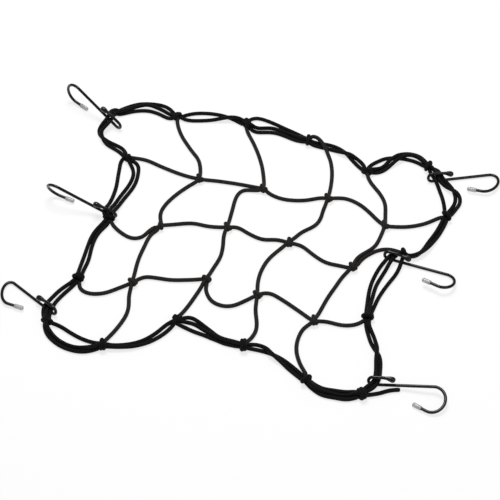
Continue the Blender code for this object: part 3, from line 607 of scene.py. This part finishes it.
def settle(cords, gap):
    """Let cords that run into each other slide apart, mostly upwards, as slack cords lie."""
    sizes = [len(cord) for cord in cords]
    points = np.vstack(cords)
    owner = np.repeat(np.arange(len(cords)), sizes)
    starts = np.concatenate([[0], np.cumsum(sizes)])
    knots = np.array([plan((knot.x, knot.y)) for knot in KNOTS.values()])
    away = np.min(np.linalg.norm(points[:, None, :2] - knots[None], axis=2), axis=1)
    free = np.clip((away - KNOT_HOLD) / KNOT_EASE, 0, 1)
    for _ in range(ROUTE_ROUNDS):
        for a, b in zip(starts, starts[1:]):
            even_out(points[a:b], free[a:b])
    laid = points.copy()
    for _ in range(SETTLE_ROUNDS):
        tree = kdtree.KDTree(len(points))
        for i, point in enumerate(points):
            tree.insert(point, i)
        tree.balance()
        move = np.zeros_like(points)
        for i, point in enumerate(points):
            if free[i] == 0:
                continue
            for _place, j, apart in tree.find_range(point, gap):
                if owner[j] == owner[i]:
                    continue
                push = point - points[j]
                push[2] += LATER_OVER * (1 if owner[i] > owner[j] else -1)
                push /= max(np.linalg.norm(push), TINY)
                move[i] += push * (gap - apart) * PUSH_SHARE
        shift = points + move * free[:, None] * (1, 1, PUSH_UP) - laid
        for a, b in zip(starts, starts[1:]):
            even_out(shift[a:b], free[a:b])
        points = laid + shift
        points[:, 2] = np.maximum(points[:, 2], FLOOR_Z)
    return [points[a:b] for a, b in zip(starts, starts[1:])]


# ---------------------------------------------------------------- meshes

def sweep(cage, line, radii, sides, uv_layer):
    """Add a round bar along a line of points to a mesh, with its length and girth as UVs."""
    line = np.asarray(line, float)
    count = len(line)
    radii = np.broadcast_to(radii, count)
    ahead = np.roll(line, -1, 0) - np.roll(line, 1, 0)
    ahead[0] = line[1] - line[0]
    ahead[-1] = line[-1] - line[-2]
    ahead /= np.linalg.norm(ahead, axis=1)[:, None]
    up = np.array([0.0, 0.0, 1.0])
    if abs(up @ ahead[0]) > 0.9:
        up = np.array([1.0, 0.0, 0.0])
    ups = []
    for way in ahead:
        up = up - way * (up @ way)
        up /= np.linalg.norm(up)
        ups.append(up)
    ups = np.array(ups)
    lefts = np.cross(ups, ahead)
    run = run_along(line)
    rings = []
    for i in range(count):
        ring = []
        for k in range(sides):
            angle = 2 * math.pi * k / sides
            spot = line[i] + radii[i] * (lefts[i] * math.cos(angle) + ups[i] * math.sin(angle))
            ring.append(cage.verts.new(Vector(spot * MM)))
        rings.append(ring)
    for i in range(count - 1):
        for k in range(sides):
            m = (k + 1) % sides
            face = cage.faces.new((rings[i][k], rings[i][m], rings[i + 1][m], rings[i + 1][k]))
            face.smooth = True
            ends = (run[i], run[i], run[i + 1], run[i + 1])
            for loop, along, turn in zip(face.loops, ends, (k, k + 1, k + 1, k)):
                loop[uv_layer].uv = (along, turn / sides)
    for ring in (rings[0][::-1], rings[-1]):
        face = cage.faces.new(ring)
        for loop in face.loops:
            loop[uv_layer].uv = (0.0, 0.0)


def finish_piece(name, cage, finish, node):
    """Turn a cage into a piece that stands for a CAD node and rides on the net."""
    bmesh.ops.recalc_face_normals(cage, faces=cage.faces)
    mesh = bpy.data.meshes.new(name)
    cage.to_mesh(mesh)
    cage.free()
    piece = bpy.data.objects.new(name, mesh)
    bpy.context.scene.collection.objects.link(piece)
    mesh.materials.append(finish)
    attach(piece, "root")
    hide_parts(node)
    return piece


def cord_piece(name, lines, settings, finish, node):
    """A piece of one or more round cords."""
    cage = bmesh.new()
    uv_layer = cage.loops.layers.uv.new("cord")
    radius = settings.cord_diameter / MM / 2
    for line in lines:
        sweep(cage, line, rounded_ends(line, radius), settings.cord_sides, uv_layer)
    return finish_piece(name, cage, finish, node)


def rounded_ends(line, radius):
    """Radii along a cord, a little smaller at its two cut ends."""
    radii = np.full(len(line), radius)
    radii[[0, -1]] = radius * CUT_END
    return radii


def turns_of(knot, radius):
    """The cord of a knot's turns: a short coil on edge round the cords that it ties, its ends tucked in."""
    turn = math.radians(knot.turn)
    long_way = np.array([math.cos(turn), math.sin(turn), 0.0])
    side_way = np.array([-math.sin(turn), math.cos(turn), 0.0])
    middle = np.array([*plan((knot.x, knot.y)), FLOOR_Z + knot.rise])
    half, rise = knot.half - TURN_IN, knot.rise - TURN_DOWN
    total = TURN_MORE * knot.wraps - TURN_LESS
    count = int(total * TURN_POINTS)
    line = []
    for i in range(count):
        t = i / (count - 1)
        angle = TURN_START + 2 * math.pi * total * t
        tuck = min(1.0, TUCK + TUCK_RATE * min(t, 1 - t))
        spot = (middle + long_way * half * math.cos(angle) * tuck
                + np.array([0, 0, 1.0]) * rise * math.sin(angle) * tuck
                + side_way * (t - 0.5) * TURN_PITCH * total)
        spot[2] = max(spot[2], radius)
        line.append(spot)
    return np.array(line)


# ---------------------------------------------------------------- hooks

def hook_frame(hook):
    """The hook's own axes: along its shank, to its left, and up from its shank."""
    heading = math.radians(hook.heading)
    pitch = math.asin(hook.rise / hook.shank)
    flat = np.array([math.cos(heading), math.sin(heading), 0.0])
    left = np.array([-flat[1], flat[0], 0.0])
    along = flat * math.cos(pitch) + np.array([0, 0, math.sin(pitch)])
    return along, left, np.cross(along, left)


def hook_point(hook, wire, reach, spread, tilt, turned):
    """A point of a hook: how far along its shank, and how far from it at a tilt from the floor."""
    along, left, up = hook_frame(hook)
    tilt = math.radians(tilt)
    offset = left * (turned * spread * math.cos(tilt)) + up * (spread * math.sin(tilt))
    base = np.array([*plan((hook.x, hook.y)), wire / 2 + HOOK_CLEAR + HEEL_SHARE * hook.rise])
    return base + along * reach + offset


def hook_lines(hook, wire):
    """Centre lines of a hook's wire, its tip and its cap."""
    def jaw(reach, spread):
        return hook_point(hook, wire, reach, spread, -hook.roll, hook.side)

    def eye(reach, spread):
        return hook_point(hook, wire, reach, spread, hook.tilt, -hook.side)

    lean = math.radians(hook.lean)
    bare = hook.back - CAP_LEN
    turned = math.atan(math.tan(lean) * hook.depth / (hook.jaw / 2))
    foot_reach = hook.shank - hook.lag - hook.depth * math.sin(turned)
    foot_spread = hook.jaw * (1 + math.cos(turned)) / 2
    run_in = hook.depth * math.sin(turned)

    def leg(length):
        on = length - run_in
        return jaw(foot_reach - on * math.cos(lean), foot_spread - on * math.sin(lean))

    def returned(length):
        return eye(length, 2 * EYE_R - RETURN_SAG * (length / hook.back) ** 3)

    path = [leg(LEG_LEN + WIRE_IN), leg((LEG_LEN + run_in) / 2)]
    for i in range(ARC_STEPS + 1):
        angle = (math.pi + turned) * (1 - i / ARC_STEPS)
        back = (1 - math.cos(angle)) / 2
        lagged = hook.lag * (1 if angle > math.pi else back)
        path.append(jaw(hook.shank + hook.depth * math.sin(angle) - lagged, hook.jaw * back))
    path += [jaw(hook.shank * share, 0) for share in (0.66, 0.33)] + [jaw(SHANK_START, 0)]
    for i in range(EYE_STEPS + 1):
        angle = math.pi * i / EYE_STEPS
        path.append(eye(-EYE_R * math.sin(angle), EYE_R * (1 - math.cos(angle))))
    path += [returned(bare * share) for share in (0.35, 0.7)] + [returned(bare + WIRE_IN)]
    tip = [leg(LEG_LEN + TIP_START + TIP_LEN * t) for t in np.linspace(0, 1, TIP_RINGS)]
    cap = [returned(bare + CAP_START + CAP_LEN * t) for t in np.linspace(0, 1, CAP_RINGS)]
    return resample(path, WIRE_STEP), np.array(tip), np.array(cap)


def resample(path, step):
    """Points about a step apart on the smooth curve through a path."""
    path = np.array(path)
    padded = with_ends(path)
    line = [path[0]]
    for i in range(len(path) - 1):
        pieces = max(1, int(round(np.linalg.norm(path[i + 1] - path[i]) / step)))
        for k in range(1, pieces + 1):
            line.append(on_curve(padded[i:i + 4], k / pieces))
    return np.array(line)


def rounded_off(t, end, least=0.15):
    """How much of its girth a sleeve keeps along its length, rounded off over the last share of it."""
    far = np.clip((t - 1 + end) / end, 0, 1)
    return least + (1 - least) * np.sqrt(1 - far ** 2)


def tip_radii(count, full):
    """A sleeve: straight, its open edge a little rounded and its far end domed."""
    t = np.linspace(0, 1, count)
    return full * rounded_off(t, 0.2) * (0.9 + 0.1 * np.clip(t / 0.06, 0, 1))


def cap_radii(count, full, wire):
    """A dipped drop: as thin as the wire where it starts, thickest near its round end."""
    t = np.linspace(0, 1, count)
    swell = eased(np.clip(t / 0.72, 0, 1))
    return (wire * 1.02 + (full - wire) * swell) * rounded_off(t, 0.26)


# ---------------------------------------------------------------- operators

class CARGONET_OT_stage(bpy.types.Operator):
    """Make the floor, the soft light and the camera"""
    bl_idname = "cargonet.stage"
    bl_label = "Stage"

    def execute(self, context):
        scene = context.scene
        scene.view_settings.view_transform = "Standard"
        world = bpy.data.worlds.new("soft_room")
        scene.world = world
        world.use_nodes = True
        world.node_tree.nodes["Background"].inputs["Color"].default_value = (1.0, 1.0, 1.0, 1)
        world.node_tree.nodes["Background"].inputs["Strength"].default_value = 0.25
        bpy.ops.mesh.primitive_plane_add(size=30, location=(0, 0, -0.0002))
        floor = context.object
        floor.name = "floor"
        floor.data.materials.append(floor_material())
        for lamp in LAMPS:
            light = bpy.data.lights.new(lamp.name, "AREA")
            light.shape = "DISK"
            light.size = lamp.size
            light.energy = lamp.power
            placed = bpy.data.objects.new(lamp.name, light)
            placed.location = lamp.place
            placed.rotation_euler = (-Vector(lamp.place)).to_track_quat("-Z", "Y").to_euler()
            scene.collection.objects.link(placed)
        azimuth = math.radians(VIEW_TURN)
        height = math.radians(VIEW_DOWN)
        back = Vector((math.sin(azimuth) * math.cos(height), -math.cos(azimuth) * math.cos(height),
                       math.sin(height)))
        target = Vector((*plan(LOOK_AT), 0)) * MM
        camera = bpy.data.cameras.new("camera")
        camera.sensor_width = 36
        camera.lens = VIEW_LENS
        camera.clip_end = 50
        eye = bpy.data.objects.new("camera", camera)
        eye.location = target + back * VIEW_AWAY
        eye.rotation_euler = (-back).to_track_quat("-Z", "Y").to_euler()
        scene.collection.objects.link(eye)
        scene.camera = eye
        return {"FINISHED"}


class CARGONET_OT_cords(bpy.types.Operator):
    """Lay the mesh cords and the border cords, and settle them on each other"""
    bl_idname = "cargonet.cords"
    bl_label = "Cords"

    def execute(self, context):
        settings = context.scene.cargo_net
        step = settings.cord_step / MM
        routes = []
        for name, route in MESH_CORDS.items():
            lift = ROW_LIFT if name.startswith("row") else COLUMN_LIFT
            routes.append(smooth_route([stop_of(stop, lift=lift) for stop in route], step))
        for run in BORDER_RUNS:
            stops = [stop_of(run.start, run.side_a)] + [stop_of(point) for point in run.route]
            if run.end:
                stops.append(stop_of(run.end, run.side_b))
            routes.append(smooth_route(stops, step))
        laid = settle(routes, settings.cord_diameter / MM * CORD_TOUCH)
        mesh_finish = cord_material("mesh_sheath", settings.mesh_colour, settings)
        border_finish = cord_material("border_sheath", settings.border_colour, settings)
        for name, line in zip(MESH_CORDS, laid):
            cord_piece(name, [line], settings, mesh_finish, "mesh_cords")
        cord_piece("border_strands", laid[len(MESH_CORDS):], settings, border_finish, "border_cords")
        return {"FINISHED"}


class CARGONET_OT_knots(bpy.types.Operator):
    """Tie the turns of every knot round its cords"""
    bl_idname = "cargonet.knots"
    bl_label = "Knots"

    def execute(self, context):
        settings = context.scene.cargo_net
        radius = settings.cord_diameter / MM / 2
        inner = [turns_of(knot, radius) for name, knot in KNOTS.items() if name.startswith("I")]
        outer = [turns_of(knot, radius) for name, knot in KNOTS.items() if not name.startswith("I")]
        cord_piece("mesh_knots", inner, settings, bpy.data.materials["mesh_sheath"], "mesh_cords")
        cord_piece("border_knots", outer, settings, bpy.data.materials["border_sheath"], "border_cords")
        return {"FINISHED"}


class CARGONET_OT_hooks(bpy.types.Operator):
    """Bend the six hooks and fit their clear tips and dipped caps"""
    bl_idname = "cargonet.hooks"
    bl_label = "Hooks"

    def execute(self, context):
        settings = context.scene.cargo_net
        wire_finish = coated_material("coated_wire", settings.wire_colour, 0.16, 0.25, 0.25)
        cap_finish = coated_material("dipped_cap", settings.cap_colour, 0.26, 0.3, 0.5)
        tip_finish = tip_material("clear_tip", settings.tip_colour)
        wire = settings.wire_diameter / MM
        for letter, hook in HOOKS.items():
            wire_line, tip_line, cap_line = hook_lines(hook, wire)
            for name, line, radii, finish in (
                    ("hook", wire_line, wire / 2, wire_finish),
                    ("tip", tip_line, tip_radii(len(tip_line), settings.tip_diameter / MM / 2), tip_finish),
                    ("cap", cap_line, cap_radii(len(cap_line), settings.cap_diameter / MM / 2, wire / 2),
                     cap_finish)):
                cage = bmesh.new()
                uv_layer = cage.loops.layers.uv.new("cord")
                sweep(cage, line, radii, WIRE_SIDES, uv_layer)
                finish_piece(f"{name}_{letter}_fine", cage, finish, f"{name}_{letter}")
        return {"FINISHED"}


class CARGONET_PT_panel(bpy.types.Panel):
    """Steps and sizes of the cargo net"""
    bl_idname = "CARGONET_PT_panel"
    bl_label = "Cargo Net"
    bl_space_type = "VIEW_3D"
    bl_region_type = "UI"
    bl_category = "Cargo Net"

    def draw(self, context):
        column = self.layout.column()
        for label in CargoNetSettings.__annotations__:
            column.prop(context.scene.cargo_net, label)
        for step in STEPS:
            column.operator(step.bl_idname)


STEPS = (CARGONET_OT_stage, CARGONET_OT_cords, CARGONET_OT_knots, CARGONET_OT_hooks)


def register():
    for kind in (CargoNetSettings, *STEPS, CARGONET_PT_panel):
        bpy.utils.register_class(kind)
    bpy.types.Scene.cargo_net = bpy.props.PointerProperty(type=CargoNetSettings)


def unregister():
    del bpy.types.Scene.cargo_net
    for kind in (CARGONET_PT_panel, *reversed(STEPS), CargoNetSettings):
        bpy.utils.unregister_class(kind)


def main():
    register()
    braid_group()
    rub_group()
    bpy.ops.cargonet.stage()
    bpy.ops.cargonet.cords()
    bpy.ops.cargonet.knots()
    bpy.ops.cargonet.hooks()
    bpy.context.view_layer.update()


if __name__ == "__main__":
    main()
